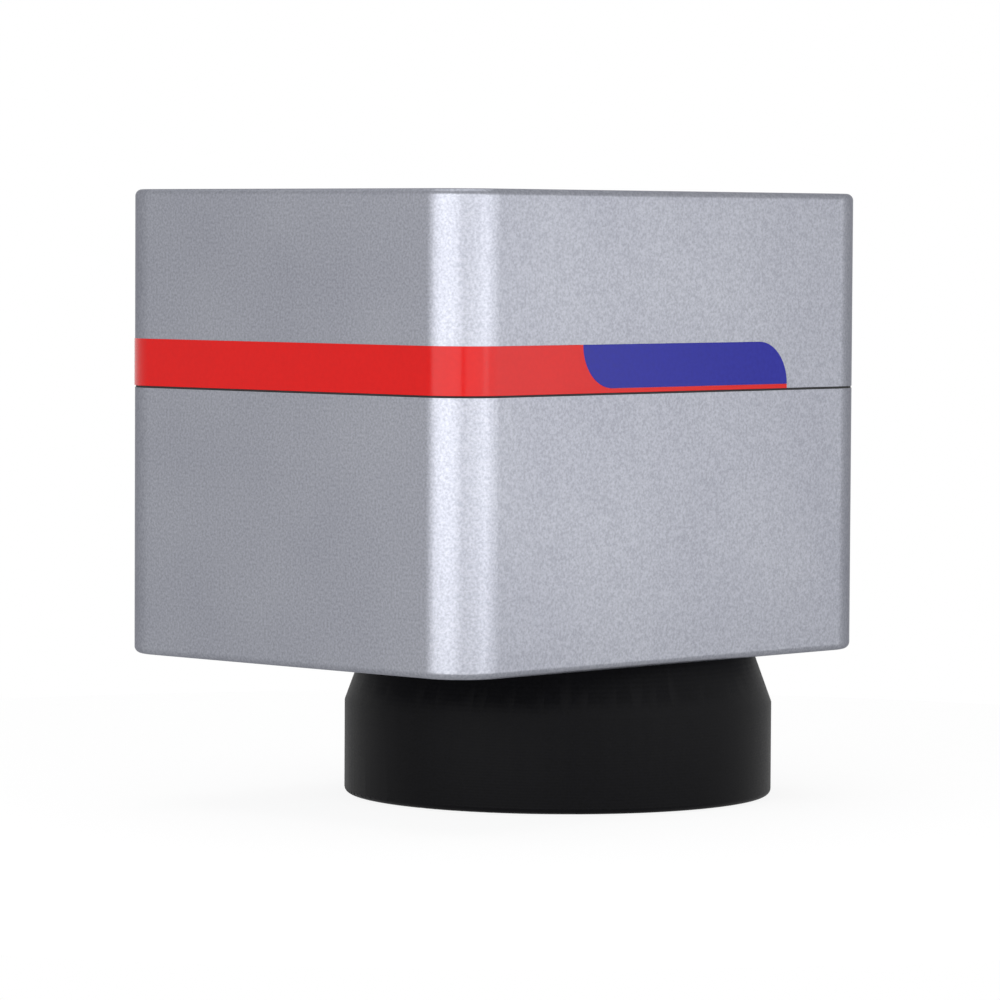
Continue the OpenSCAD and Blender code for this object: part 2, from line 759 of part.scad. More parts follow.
module mirror_outline(far) {
    w = mirror_w / 2;
    near = mirror_standoff;
    polygon([[-w, mirror_cut - far], [mirror_cut - w, -far], [w - mirror_cut, -far], [w, mirror_cut - far],
             [w, -near - mirror_foot_cut], [w - mirror_foot_cut, -near], [mirror_foot_cut - w, -near],
             [-w, -near - mirror_foot_cut]]);
}

module x_stator_case() stator_case("x");
module x_coil() coil("x");
module x_bearings() bearings("x");
module x_rear_cap() rear_cap("x");
module x_encoder_board() encoder_board("x");
module x_shaft() shaft("x");
module x_magnet() magnet("x");
module x_encoder_blade() encoder_blade("x");
module x_mirror_clamp() mirror_clamp("x");
module x_mirror() scan_mirror("x");
module y_stator_case() stator_case("y");
module y_coil() coil("y");
module y_bearings() bearings("y");
module y_rear_cap() rear_cap("y");
module y_encoder_board() encoder_board("y");
module y_shaft() shaft("y");
module y_magnet() magnet("y");
module y_encoder_blade() encoder_blade("y");
module y_mirror_clamp() mirror_clamp("y");
module y_mirror() scan_mirror("y");

// ---- electronics ----

// Puts a board's solids, drawn with the component side towards +Y, on its side of the head
module board_place(side) {
    if (side == "x")
        translate([board_x0, board_y_label, board_z0]) children();
    else
        translate([board_x0, board_y_far + board_t, board_z0]) mirror([0, 1, 0]) children();
}

module driver_board(side) color([0.08, 0.32, 0.16]) board_place(side) difference() {
    cube([board_l, board_t, board_h]);
    for (x = bracket_places)
        translate([x + bracket_w / 2, -over, bracket_h / 2]) rotate([-90, 0, 0])
            cylinder(h = board_t + 2 * over, r = screw_r + fit);
}

// Power amplifiers, converter chip, filter capacitors and cable header on the inner face
module driver_chips(side) color([0.10, 0.10, 0.11]) board_place(side) translate([0, board_t, 0]) {
    for (x = amplifier_x) translate([x, 0, chip_z]) cube(amplifier);
    translate([converter_x, 0, chip_z]) cube(converter);
    for (x = capacitor_x) translate([x, 0, capacitor_z]) rotate([-90, 0, 0])
        cylinder(h = capacitor_h, r = capacitor_r);
    translate([header_x, 0, header_z]) cube(header);
}

module board_brackets() color(STEEL)
    for (side = ["x", "y"]) board_place(side)
        for (x = bracket_places) translate([x, -bracket_t, -board_lift]) difference() {
            union() {
                cube([bracket_w, bracket_t, bracket_h]);
                translate([0, -bracket_foot + bracket_t, 0]) cube([bracket_w, bracket_foot, bracket_t]);
            }
            translate([bracket_w / 2, -over, board_lift + bracket_h / 2]) rotate([-90, 0, 0])
                cylinder(h = bracket_t + 2 * over, r = screw_r + fit);
        }

module board_screws() color(STEEL)
    for (side = ["x", "y"]) board_place(side)
        for (x = bracket_places) translate([x + bracket_w / 2, board_t, bracket_h / 2]) rotate([-90, 0, 0])
            socket_screw(board_t + bracket_t + screw_end);

// Board behind both connectors, carried by their pins
module interface_board() color([0.08, 0.32, 0.16]) {
    y0 = signal_y - d_flange_w / 2;
    z0 = signal_z - d_flange_h / 2;
    translate([-interface_x - board_t, 0, 0]) difference() {
        translate([0, y0, z0])
            cube([board_t, power_y + power_nut_af / 2 - y0, power_z + power_r - z0]);
        for (p = signal_pin_places())
            rod_x(-over, signal_y + p[0], signal_z + p[1], board_t + 2 * over, signal_pin_r + fit);
        for (p = power_pin_places())
            rod_x(-over, power_y + p[0], power_z + p[1], board_t + 2 * over, power_pin_r + fit);
    }
}

// ---- connectors ----

// Points of an arc about a centre, from one direction to another
function arc(centre, radius, from, to) = [for (i = [0 : d_corner_steps])
    let (a = from + (to - from) * i / d_corner_steps) centre + radius * [cos(a), sin(a)]];

// D-shaped prism along +X with rounded corners: its lower corners lie further in than its upper ones
module d_prism(length, w, h, radius) {
    slope = h * tan(d_angle);
    // Centres of the rounds
    upper = w / 2 - radius / tan(45 - d_angle / 2);
    lower = w / 2 - slope - radius / tan(45 + d_angle / 2);
    level = h / 2 - radius;
    rotate([90, 0, 90]) linear_extrude(length) polygon(concat(
        arc([upper, level], radius, 90, -d_angle),
        arc([lower, -level], radius, -d_angle, -90),
        arc([-lower, -level], radius, -90, d_angle - 180),
        arc([-upper, level], radius, d_angle - 180, -270)
    ));
}

function signal_pin_places() = concat(
    [for (i = [0 : upper_pins - 1]) [(i - (upper_pins - 1) / 2) * pin_pitch, row_pitch / 2]],
    [for (i = [0 : lower_pins - 1]) [(i - (lower_pins - 1) / 2) * pin_pitch, -row_pitch / 2]]);

function power_pin_places() = [for (i = [0 : power_pins_n - 1])
    [power_pin_circle * sin(i * 360 / power_pins_n), power_pin_circle * cos(i * 360 / power_pins_n)]];

module signal_shell() color(STEEL) translate([-cover_wall, signal_y, signal_z]) difference() {
    union() {
        translate([-d_flange_t, -d_flange_w / 2, -d_flange_h / 2]) cube([d_flange_t, d_flange_w, d_flange_h]);
        translate([-eps, 0, 0]) d_prism(cover_wall + d_shell_out + eps, d_shell_w, d_shell_h, d_corner_r);
    }
    translate([-d_flange_t - over, 0, 0])
        d_prism(d_flange_t + cover_wall + d_shell_out + 2 * over,
                d_shell_w - 2 * d_shell_t, d_shell_h - 2 * d_shell_t, d_corner_r - d_shell_t);
    for (s = [-1, 1])
        rod_x(-d_flange_t - over, s * jackpost_span / 2, 0, d_flange_t + 2 * over, screw_r + fit);
}

// Moulded insert behind and inside the shell, with a hole for each pin
module signal_insert() color(BLACK) translate([-cover_wall, signal_y, signal_z]) difference() {
    inset = 2 * d_shell_t + 2 * fit;
    union() {
        translate([-d_flange_t - insert_depth, 0, 0])
            d_prism(insert_depth, d_shell_w + 2 * d_body_wall, d_shell_h + 2 * d_body_wall,
                    d_corner_r + d_body_wall);
        translate([-d_flange_t - eps, 0, 0])
            d_prism(d_face_t, d_shell_w - inset, d_shell_h - inset, d_corner_r - inset / 2);
    }
    for (p = signal_pin_places())
        rod_x(-d_flange_t - insert_depth - over, p[0], p[1], insert_depth + d_face_t + 2 * over,
              signal_pin_r + fit);
}

module signal_pins() color([0.83, 0.68, 0.32]) translate([0, signal_y, signal_z])
    for (p = signal_pin_places())
        rod_x(-interface_x - board_t, p[0], p[1], interface_x + board_t + d_shell_out - signal_pin_recess,
              signal_pin_r);

module signal_jackposts() color(STEEL)
    for (s = [-1, 1]) translate([0, signal_y + s * jackpost_span / 2, signal_z]) difference() {
        union() {
            rotate([0, 90, 0]) cylinder(h = jackpost_l, r = jackpost_af / 2 / cos(30), $fn = 6);
            rod_x(-cover_wall - jackpost_stud, 0, 0, cover_wall + jackpost_stud + eps, screw_r);
        }
        rod_x(jackpost_l / 4, 0, 0, jackpost_l, jackpost_hole_r);
    }

module power_shell() color([0.60, 0.61, 0.64]) translate([0, power_y, power_z]) difference() {
    union() {
        rod_x(-interface_x + power_insert_back, 0, 0, interface_x - power_insert_back + power_out, power_r);
        rod_x(0, 0, 0, power_flange_t, power_flange_r);
    }
    rod_x(-interface_x, 0, 0, interface_x + power_out + over, power_r - power_wall);
}

module power_insert() color(BLACK) translate([0, power_y, power_z]) difference() {
    rod_x(-interface_x + power_insert_back, 0, 0, interface_x - power_insert_back + power_flange_t,
          power_r - power_wall - fit);
    for (p = power_pin_places()) rod_x(-interface_x, p[0], p[1], interface_x + 3, power_pin_r + fit);
}

module power_pins() color([0.83, 0.68, 0.32]) translate([0, power_y, power_z])
    for (p = power_pin_places())
        rod_x(-interface_x - board_t, p[0], p[1], interface_x + board_t + power_out - power_pin_recess,
              power_pin_r);

module power_nut() color(STEEL) translate([-cover_wall - power_nut_t, power_y, power_z]) difference() {
    rotate([0, 90, 0]) cylinder(h = power_nut_t, r = power_nut_af / 2 / cos(30), $fn = 6);
    rod_x(-over, 0, 0, power_nut_t + 2 * over, power_r + fit);
}

// ---- lens ----

// Half profile of the outside of the barrel, radius against height
module barrel_profile() {
    r = barrel_d / 2;
    square_to(thread_d / 2, lens_rim_z + over, neck_z);
    polygon([[0, lens_rim_z + barrel_edge_r], [r, lens_rim_z + barrel_edge_r],
             [r, underside_z - cone_h], [shoulder_d / 2, underside_z], [0, underside_z]]);
    square_to(r - barrel_edge_r, lens_rim_z, lens_rim_z + barrel_edge_r + eps);
    translate([r - barrel_edge_r, lens_rim_z + barrel_edge_r]) circle(barrel_edge_r, $fn = 64);
}

// Rectangle from the axis out to a radius, between two heights
module square_to(radius, z0, z1) {
    translate([0, z0]) square([radius, z1 - z0]);
}

module lens_barrel() color(BLACK) translate([lens_x, lens_y, 0]) rotate_extrude() difference() {
    intersection() {
        barrel_profile();
        square_to(barrel_d, lens_rim_z - over, neck_z + over);
    }
    square_to(entry_r, lens_rim_z - over, neck_z + over);
    square_to(top_glass_r + fit, lens_rim_z - over, top_glass_z + top_rim_t);
    square_to(middle_glass_r + fit, lens_rim_z - over, middle_top_z);
    square_to(front_glass_r + fit, lens_rim_z - over, front_top_z);
    square_to(window_r + fit, lens_rim_z - over, window_top_z);
}

// Lens element: a disc with a flat rim and spherical faces, whose lower and upper sag bulge outward
// where they are positive
module lens_element(radius, z0, rim, sags) {
    sag_low = sags[0];
    sag_high = sags[1];
    clear_r = radius - lens_seat_w;
    translate([lens_x, lens_y, 0]) rotate_extrude() difference() {
        union() {
            square_to(radius, z0, z0 + rim);
            if (sag_low > 0) cap_profile(clear_r, z0, sag_low, -1);
            if (sag_high > 0) cap_profile(clear_r, z0 + rim, sag_high, 1);
        }
        if (sag_low < 0) cap_profile(clear_r, z0, -sag_low, 1);
        if (sag_high < 0) cap_profile(clear_r, z0 + rim, -sag_high, -1);
    }
}

// Half profile of a spherical cap of a given rim radius and sag, standing on height z
module cap_profile(rim_radius, z, sag, up) {
    big = (rim_radius * rim_radius + sag * sag) / (2 * sag);
    intersection() {
        translate([0, z + up * (sag - big)]) circle(big, $fn = 4 * round(big));
        translate([0, up > 0 ? z - eps : z - sag - eps]) square([rim_radius, sag + 2 * eps]);
    }
}

module lens_element_top() color([0.60, 0.75, 0.78])
    lens_element(top_glass_r, top_glass_z, top_rim_t, top_sags);
module lens_element_middle() color([0.60, 0.75, 0.78])
    lens_element(middle_glass_r, middle_glass_z, middle_rim_t, middle_sags);
module lens_element_front() color([0.60, 0.75, 0.78])
    lens_element(front_glass_r, front_glass_z, front_rim_t, front_sags);

// Tube that keeps an element on its seat, between two heights
module spacer_tube(radius, z0, z1) {
    translate([lens_x, lens_y, z0]) difference() {
        cylinder(h = z1 - z0, r = radius - fit);
        translate([0, 0, -over]) cylinder(h = z1 - z0 + 2 * over, r = radius - spacer_wall);
    }
}

module lens_spacers() color(BLACK) {
    spacer_tube(top_glass_r, middle_top_z, top_glass_z);
    spacer_tube(middle_glass_r, front_top_z, middle_glass_z);
}

module lens_retainer() color(BLACK)
    spacer_tube(front_glass_r, retainer_z, retainer_z + retainer_t);

module protective_window() color([0.70, 0.85, 0.88])
    translate([lens_x, lens_y, window_z]) cylinder(h = window_t, r = window_r);

// Threaded ring with two slots for its key
module window_ring() color(BLACK) translate([lens_x, lens_y, window_ring_z]) difference() {
    cylinder(h = window_ring_t, r = window_r);
    translate([0, 0, -over]) cylinder(h = window_ring_t + 2 * over, r = window_r - window_ring_w);
    for (turn = [0, 180]) rotate([0, 0, turn])
        translate([window_r - window_ring_w - over, -key_slot_w / 2, -over])
            cube([window_ring_w + 2 * over, key_slot_w, key_slot_depth + over]);
}

lower_housing();
top_cover();
cover_gasket();
cover_screws();
side_stripe();
label_tab();
beam_inlet_ring();
inlet_o_ring();
scanner_mount();
mount_screws();
clamp_screws();
x_stator_case();
x_coil();
x_bearings();
x_rear_cap();
x_encoder_board();
x_shaft();
x_magnet();
x_encoder_blade();
x_mirror_clamp();
x_mirror();
y_stator_case();
y_coil();
y_bearings();
y_rear_cap();
y_encoder_board();
y_shaft();
y_magnet();
y_encoder_blade();
y_mirror_clamp();
y_mirror();
driver_board("x");  // driver_board_x
driver_board("y");  // driver_board_y
driver_chips("x");  // driver_chips_x
driver_chips("y");  // driver_chips_y
board_brackets();
board_screws();
interface_board();
signal_shell();
signal_insert();
signal_pins();
signal_jackposts();
power_shell();
power_insert();
power_pins();
power_nut();
lens_barrel();
lens_element_top();
lens_element_middle();
lens_element_front();
lens_spacers();
lens_retainer();
protective_window();
window_ring();
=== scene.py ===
"""Studio scene of a two-axis galvo scanner head.

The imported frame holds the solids. This script gives them their finishes, makes the finest parts
anew, and sets the light and the camera.
"""

import json
import math

import bmesh
import bpy
import numpy as np
from mathutils import Matrix, Vector


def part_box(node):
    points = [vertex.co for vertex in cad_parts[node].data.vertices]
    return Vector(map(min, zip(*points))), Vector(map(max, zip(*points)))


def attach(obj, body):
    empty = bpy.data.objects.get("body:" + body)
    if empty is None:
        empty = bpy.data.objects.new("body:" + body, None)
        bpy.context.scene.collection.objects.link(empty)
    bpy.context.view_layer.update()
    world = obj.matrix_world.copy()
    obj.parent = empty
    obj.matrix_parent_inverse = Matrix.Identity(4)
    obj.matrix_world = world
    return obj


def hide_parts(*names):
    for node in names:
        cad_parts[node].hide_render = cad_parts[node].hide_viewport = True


MM = 0.001
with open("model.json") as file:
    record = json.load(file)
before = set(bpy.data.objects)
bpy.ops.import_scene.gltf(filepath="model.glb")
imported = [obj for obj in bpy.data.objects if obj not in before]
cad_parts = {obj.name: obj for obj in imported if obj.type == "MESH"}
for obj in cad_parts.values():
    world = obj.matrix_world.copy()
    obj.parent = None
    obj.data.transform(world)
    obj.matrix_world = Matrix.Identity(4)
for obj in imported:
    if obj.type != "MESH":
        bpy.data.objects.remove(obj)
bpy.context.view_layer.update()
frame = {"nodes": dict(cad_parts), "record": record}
nodes = frame["nodes"]
record = frame["record"]

BODY_OF = {node: body for body, members in record["behaviour"]["bodies"].items()
           for node in members}
SLOT_OF = {part["node"]: part["material_slot"] for part in record["subparts"]}

# Axes that the turned parts share, in metres: the lens, the beam inlet, the two scanners and the
# power port. The beam enters along X through the origin.
barrel_low, barrel_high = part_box("lens_barrel")
x_low, x_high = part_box("x_stator_case")
y_low, y_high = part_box("y_stator_case")
power_low, power_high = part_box("power_shell")
LENS_AXIS = ("Z", (barrel_low + barrel_high) / 2)
INLET_AXIS = ("X", Vector((0.0, 0.0, 0.0)))
X_SCANNER_AXIS = ("Z", (x_low + x_high) / 2)
Y_SCANNER_AXIS = ("X", (y_low + y_high) / 2)
POWER_AXIS = ("X", (power_low + power_high) / 2)

# Middle of the housing at the beam's level, which the lamps face and the floor lies round
HEAD_MIDDLE = Vector((-0.061, -0.011, 0.0))


# ---- materials ----

# Span of the noise that a grain's two tones and two roughnesses take up
GRAIN_FROM, GRAIN_TO = 0.3, 0.7


def srgb(code):
    """Turns an sRGB hex colour into linear red, green and blue with alpha 1."""
    parts = [int(code[i:i + 2], 16) / 255 for i in (1, 3, 5)]
    return tuple(p / 12.92 if p <= 0.04045 else ((p + 0.055) / 1.055) ** 2.4
                 for p in parts) + (1.0,)


def add(tree, kind, settings=None, values=None, links=None):
    """Adds a node with its settings by attribute, and its values and links by input."""
    node = tree.nodes.new(kind)
    for name, value in (settings or {}).items():
        setattr(node, name, value)
    for name, value in (values or {}).items():
        node.inputs[name].default_value = value
    for name, socket in (links or {}).items():
        tree.links.new(socket, node.inputs[name])
    return node


def tool_marks(tree, place, axis, pitch_mm):
    """Height of fine rings about a turning axis, on sides and end faces alike.

    The height is the sine of the sum of the distance from the axis and the distance along it,
    one turn per pitch.
    """
    letter, centre = axis
    along = [float(letter == name) for name in "XYZ"]
    across = [1 - a for a in along]
    local = add(tree, "ShaderNodeVectorMath", {"operation": "SUBTRACT"}, {1: centre}, {0: place})
    flat = add(tree, "ShaderNodeVectorMath", {"operation": "MULTIPLY"}, {1: across},
               {0: local.outputs["Vector"]})
    radius = add(tree, "ShaderNodeVectorMath", {"operation": "LENGTH"}, None,
                 {0: flat.outputs["Vector"]})
    depth = add(tree, "ShaderNodeVectorMath", {"operation": "DOT_PRODUCT"}, {1: along},
                {0: local.outputs["Vector"]})
    reach = add(tree, "ShaderNodeMath", {"operation": "ADD"}, None,
                {0: radius.outputs["Value"], 1: depth.outputs["Value"]})
    phase = add(tree, "ShaderNodeMath", {"operation": "MULTIPLY"},
                {1: 2 * math.pi / (pitch_mm * MM)}, {0: reach.outputs["Value"]})
    height = add(tree, "ShaderNodeMath", {"operation": "SINE"}, None,
                 {0: phase.outputs["Value"]})
    return height.outputs["Value"]


def finish(name, tones, roughness, grain_mm, relief_mm=0.0, blotch=None, marks=None, **sockets):
    """A surface whose tone and roughness follow one grain, with relief from it or from a tool.

    tones are two sRGB colours and roughness two values. blotch is a size in mm and the darkest
    tone of a broad unevenness. marks are an axis, a pitch and a depth in mm. Constants go
    straight on the shader's sockets.
    """
    material = bpy.data.materials.new(name)
    material.use_nodes = True
    tree = material.node_tree
    shader = tree.nodes["Principled BSDF"]
    for socket, value in sockets.items():
        shader.inputs[socket.replace("_", " ")].default_value = value
    place = add(tree, "ShaderNodeTexCoord").outputs["Object"]
    noise = add(tree, "ShaderNodeTexNoise", None,
                {"Scale": 1 / (grain_mm * MM), "Detail": 1.0, "Roughness": 0.6},
                {"Vector": place})
    grain = noise.outputs["Fac"]
    ramp = add(tree, "ShaderNodeValToRGB", None, None, {"Fac": grain})
    for end, position, code in zip(ramp.color_ramp.elements, (GRAIN_FROM, GRAIN_TO), tones):
        end.position = position
        end.color = srgb(code)
    colour = ramp.outputs["Color"]
    if blotch:
        size_mm, darkest = blotch
        cloud = add(tree, "ShaderNodeTexNoise", None,
                    {"Scale": 1 / (size_mm * MM), "Detail": 3.0}, {"Vector": place})
        uneven = add(tree, "ShaderNodeMix", {"data_type": "RGBA", "blend_type": "MIX"},
                     {"A": srgb(darkest), "B": srgb("#FFFFFF")}, {"Factor": cloud.outputs["Fac"]})
        mixed = add(tree, "ShaderNodeMix", {"data_type": "RGBA", "blend_type": "MULTIPLY"},
                    {"Factor": 1.0}, {"A": colour, "B": uneven.outputs["Result"]})
        colour = mixed.outputs["Result"]
    tree.links.new(colour, shader.inputs["Base Color"])
    sheen = add(tree, "ShaderNodeMapRange", None,
                {"From Min": GRAIN_FROM, "From Max": GRAIN_TO,
                 "To Min": roughness[0], "To Max": roughness[1]}, {"Value": grain})
    tree.links.new(sheen.outputs["Result"], shader.inputs["Roughness"])
    height, depth_mm = grain, relief_mm
    if marks:
        axis, pitch_mm, depth_mm = marks
        height = tool_marks(tree, place, axis, pitch_mm)
    if depth_mm:
        bump = add(tree, "ShaderNodeBump", None, {"Distance": depth_mm * MM}, {"Height": height})
        tree.links.new(bump.outputs["Normal"], shader.inputs["Normal"])
    return material


# Aluminium blasted with fine glass beads and clear anodised: a cool grey with a broad soft sheen
# and an even sparkling grain, and no bright rim at a glancing angle, because the blasting breaks
# it up. The real grain of about 0.1 mm is drawn at 0.5 mm so that it shows.
blasted = finish("bead_blasted_clear_anodised_aluminium", ("#85878E", "#9A9CA3"), (0.37, 0.39),
                 grain_mm=0.5, relief_mm=0.002, blotch=(30.0, "#E8E8EC"), Metallic=1.0,
                 Specular_Tint=srgb("#C6C6CA"))

# Aluminium turned, dyed black and sealed: a deep matt black that mirrors almost nothing, with
# faint rings from the tool. The real feed of about 0.1 mm is drawn at 0.6 mm on the lens and at
# 0.5 mm on the inlet ring, so that it shows.
BLACK_ANODISE = dict(tones=("#08080A", "#0E0E11"), roughness=(0.46, 0.52), grain_mm=0.5,
                     blotch=(18.0, "#C8C8C8"), Specular_IOR_Level=0.06)
black_lens = finish("black_anodised_turned_aluminium", marks=(LENS_AXIS, 0.6, 0.004),
                    **BLACK_ANODISE)
black_inlet = finish("black_anodised_turned_ring", marks=(INLET_AXIS, 0.5, 0.004),
                     **BLACK_ANODISE)

# Polyester film with screen-printed ink under a satin varnish: flat strong colour with a faint
# orange peel
PRINTED_FILM = dict(roughness=(0.18, 0.25), grain_mm=0.9, relief_mm=0.004,
                    blotch=(14.0, "#F4F4F4"), Specular_IOR_Level=0.22)
red_film = finish("red_printed_film", ("#C60503", "#CA0805"), **PRINTED_FILM)
blue_film = finish("blue_printed_film", ("#0A0E86", "#0E138C"), **PRINTED_FILM)

# Nitrile rubber: dull near-black with a slightly dusty bloom
rubber = finish("black_nitrile_rubber", ("#101010", "#1B1B1C"), (0.62, 0.78), grain_mm=0.5,
                relief_mm=0.01)

# Glass-filled nylon from a spark-eroded mould: matt black with a fine even texture
nylon = finish("black_moulded_nylon", ("#141415", "#1E1E20"), (0.42, 0.55), grain_mm=0.25,
               relief_mm=0.01)

# Steel screws with bright zinc plating: light grey, slightly uneven, with a soft shine
zinc = finish("zinc_plated_screw_steel", ("#999BA1", "#A8AAB0"), (0.24, 0.34), grain_mm=0.35,
              relief_mm=0.004, blotch=(3.0, "#DADADA"), Metallic=1.0)

# Aluminium milled with an end mill: bright grey with a fine regular feed
milled = finish("milled_aluminium", ("#B0B2B6", "#B8BABE"), (0.28, 0.34), grain_mm=0.8,
                marks=(LENS_AXIS, 0.6, 0.004), blotch=(25.0, "#E8E8E8"), Metallic=1.0)

# Steel ground and lapped for bearings, shafts and cases: mid grey and smooth, with faint rings
GROUND_STEEL = dict(tones=("#8C8E93", "#94969B"), roughness=(0.22, 0.28), grain_mm=0.5,
                    Metallic=1.0)
ground_x = finish("ground_steel_upright_scanner", marks=(X_SCANNER_AXIS, 0.4, 0.002),
                  **GROUND_STEEL)
ground_y = finish("ground_steel_lying_scanner", marks=(Y_SCANNER_AXIS, 0.4, 0.002),
                  **GROUND_STEEL)

# Enamelled copper wire, 0.3 mm thick, wound in close turns and varnished: warm brown ridges
# under a glossy coat
COPPER_WINDING = dict(tones=("#8A4526", "#C8743F"), roughness=(0.30, 0.42), grain_mm=0.6,
                      Metallic=1.0, Coat_Weight=0.6, Coat_Roughness=0.12)
copper_x = finish("copper_winding_upright_scanner", marks=(X_SCANNER_AXIS, 0.3, 0.05),
                  **COPPER_WINDING)
copper_y = finish("copper_winding_lying_scanner", marks=(Y_SCANNER_AXIS, 0.3, 0.05),
                  **COPPER_WINDING)

# Rare-earth magnet with nickel plating: warm bright grey
nickel_magnet = finish("nickel_plated_magnet", ("#9B9A96", "#B2B1AC"), (0.12, 0.20),
                       grain_mm=1.5, blotch=(5.0, "#E8E6E0"), Metallic=1.0)

# Glass-epoxy board under green solder mask: glossy green, cloudy where copper lies under it
solder_mask = finish("green_solder_mask_board", ("#0B4423", "#13602F"), (0.24, 0.36),
                     grain_mm=1.6, relief_mm=0.02, blotch=(6.0, "#B8C8B8"), Coat_Weight=0.4,
                     Coat_Roughness=0.15)

# Silicon plate with a dielectric mirror coating: bright, even and faintly golden
mirror_coat = finish("dielectric_mirror_coating", ("#E6E0CE", "#EFEBDD"), (0.02, 0.05),
                     grain_mm=6.0, Metallic=1.0)

# Steel and brass shells with nickel plating: bright warm grey with a soft shine
nickel_shell = finish("nickel_plated_shell", ("#AEAEAC", "#BCBCBA"), (0.17, 0.25), grain_mm=0.6,
                      relief_mm=0.003, blotch=(4.0, "#DEDEDC"), Metallic=1.0)

# Brass contacts with gold plating: warm yellow metal
gold = finish("gold_plated_contacts", ("#D29B38", "#EFC166"), (0.14, 0.24), grain_mm=0.5,
              Metallic=1.0)

# Fused silica with an anti-reflection coating: almost clear, with a weak green sheen, because
# the coating keeps most of the surface's own mirror image away
silica = finish("coated_fused_silica", ("#EEF6F5", "#FFFFFF"), (0.0, 0.02), grain_mm=20.0,
                Transmission_Weight=1.0, IOR=1.45, Specular_IOR_Level=0.15, Coat_Weight=0.1,
                Coat_Roughness=0.02, Coat_Tint=srgb("#8FC8B8"))

FINISH_OF_SLOT = {
    "blasted_aluminium": blasted, "black_anodised": black_lens, "black_plastic": nylon,
    "black_rubber": rubber, "blue_label": blue_film, "circuit_board": solder_mask,
    "coated_glass": silica, "copper_winding": copper_x, "gold_pins": gold,
    "ground_steel": ground_x, "machined_aluminium": milled, "magnet": nickel_magnet,
    "mirror_coating": mirror_coat, "plated_shell": nickel_shell, "red_label": red_film,
    "screw_steel": zinc,
}
# Nodes whose rings run about another axis than their slot's finish has
FINISH_OF_NODE = {
    "beam_inlet_ring": black_inlet, "y_coil": copper_y, "y_stator_case": ground_y,
    "y_bearings": ground_y, "y_shaft": ground_y,
}


def finish_of(node):
    """The node's own finish where it has one, else that of its material slot."""
    return FINISH_OF_NODE.get(node, FINISH_OF_SLOT[SLOT_OF[node]])


# ---- pieces ----

# An edge that turns by more than this is sharp
SHARP_DEG = 32.0

# Radius of the upright corners of the housing and the cover
CORNER_MM = 10.0

# The films on the cover, and how thick they are
PRINTED_FILMS = ("side_stripe", "label_tab")
FILM_MM = 0.12

# Clean-up of a node's loose triangles: points this close are one, edges shorter than this go,
# and faces that turn by less than this are one
MERGE_WITHIN = 2e-6
SHORTEST_EDGE = 1e-7
FLAT_WITHIN_DEG = 0.4

# Facets across the round on a sharp edge
BEVEL_STEPS = 3


def settle(piece, node):
    """Gives a piece the finish, slot and body of the node it stands for, and hides that node."""
    piece.data.materials.clear()
    piece.data.materials.append(finish_of(node))
    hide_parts(node)
    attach(piece, BODY_OF[node])


def shown(name, mesh):
    """A new object of a mesh whose faces are smooth between sharp edges."""
    mesh.shade_smooth()
    mesh.set_sharp_from_angle(angle=math.radians(SHARP_DEG))
    piece = bpy.data.objects.new(name, mesh)
    bpy.context.scene.collection.objects.link(piece)
    return piece


def laid_flat(mesh, outline, radius_mm, thick_mm):
    """Presses a skin onto the upright walls inside it, down to its thickness.

    The walls follow a rectangle with rounded corners. The part of a point's place that lies
    beyond the rectangle shrunk by the corner radius is a vector, and it is cut to the length of
    the radius plus the thickness.
    """
    low, high = np.array(outline[0])[:2], np.array(outline[1])[:2]
    radius = radius_mm * MM
    places = np.empty(len(mesh.vertices) * 3)
    mesh.vertices.foreach_get("co", places)
    places = places.reshape(-1, 3)
    offset = places[:, :2] - (low + high) / 2
    core = (high - low) / 2 - radius
    beyond = np.maximum(np.abs(offset) - core, 0.0)
    never_zero = 1e-9
    reach = np.maximum(np.linalg.norm(beyond, axis=1, keepdims=True), never_zero)
    cut = beyond * np.minimum(reach, radius + thick_mm * MM) / reach
    pressed = np.sign(offset) * (np.minimum(np.abs(offset), core) + cut)
    places[:, :2] = (low + high) / 2 + pressed
    mesh.vertices.foreach_set("co", places.ravel())
    mesh.update()


def broken_edges(node, width_mm):
    """A merged copy of a node whose sharp edges have a small round, as a deburred part has."""
    mesh = nodes[node].data.copy()
    if "custom_normal" in mesh.attributes:
        mesh.attributes.remove(mesh.attributes["custom_normal"])
    shape = bmesh.new()
    shape.from_mesh(mesh)
    bmesh.ops.remove_doubles(shape, verts=shape.verts, dist=MERGE_WITHIN)
    bmesh.ops.dissolve_degenerate(shape, edges=shape.edges, dist=SHORTEST_EDGE)
    bmesh.ops.dissolve_limit(shape, angle_limit=math.radians(FLAT_WITHIN_DEG),
                             verts=shape.verts, edges=shape.edges)
    shape.to_mesh(mesh)
    shape.free()
    if node in PRINTED_FILMS:
        laid_flat(mesh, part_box("top_cover"), CORNER_MM, FILM_MM)
    piece = shown(node + "_deburred", mesh)
    bevel = piece.modifiers.new("broken_edges", "BEVEL")
    bevel.width = width_mm * MM
    bevel.segments = BEVEL_STEPS
    bevel.limit_method = "ANGLE"
    bevel.angle_limit = math.radians(SHARP_DEG)
    bevel.miter_outer = "MITER_ARC"
    even = piece.modifiers.new("flat_faces_stay_flat", "WEIGHTED_NORMAL")
    even.keep_sharp = True
    settle(piece, node)


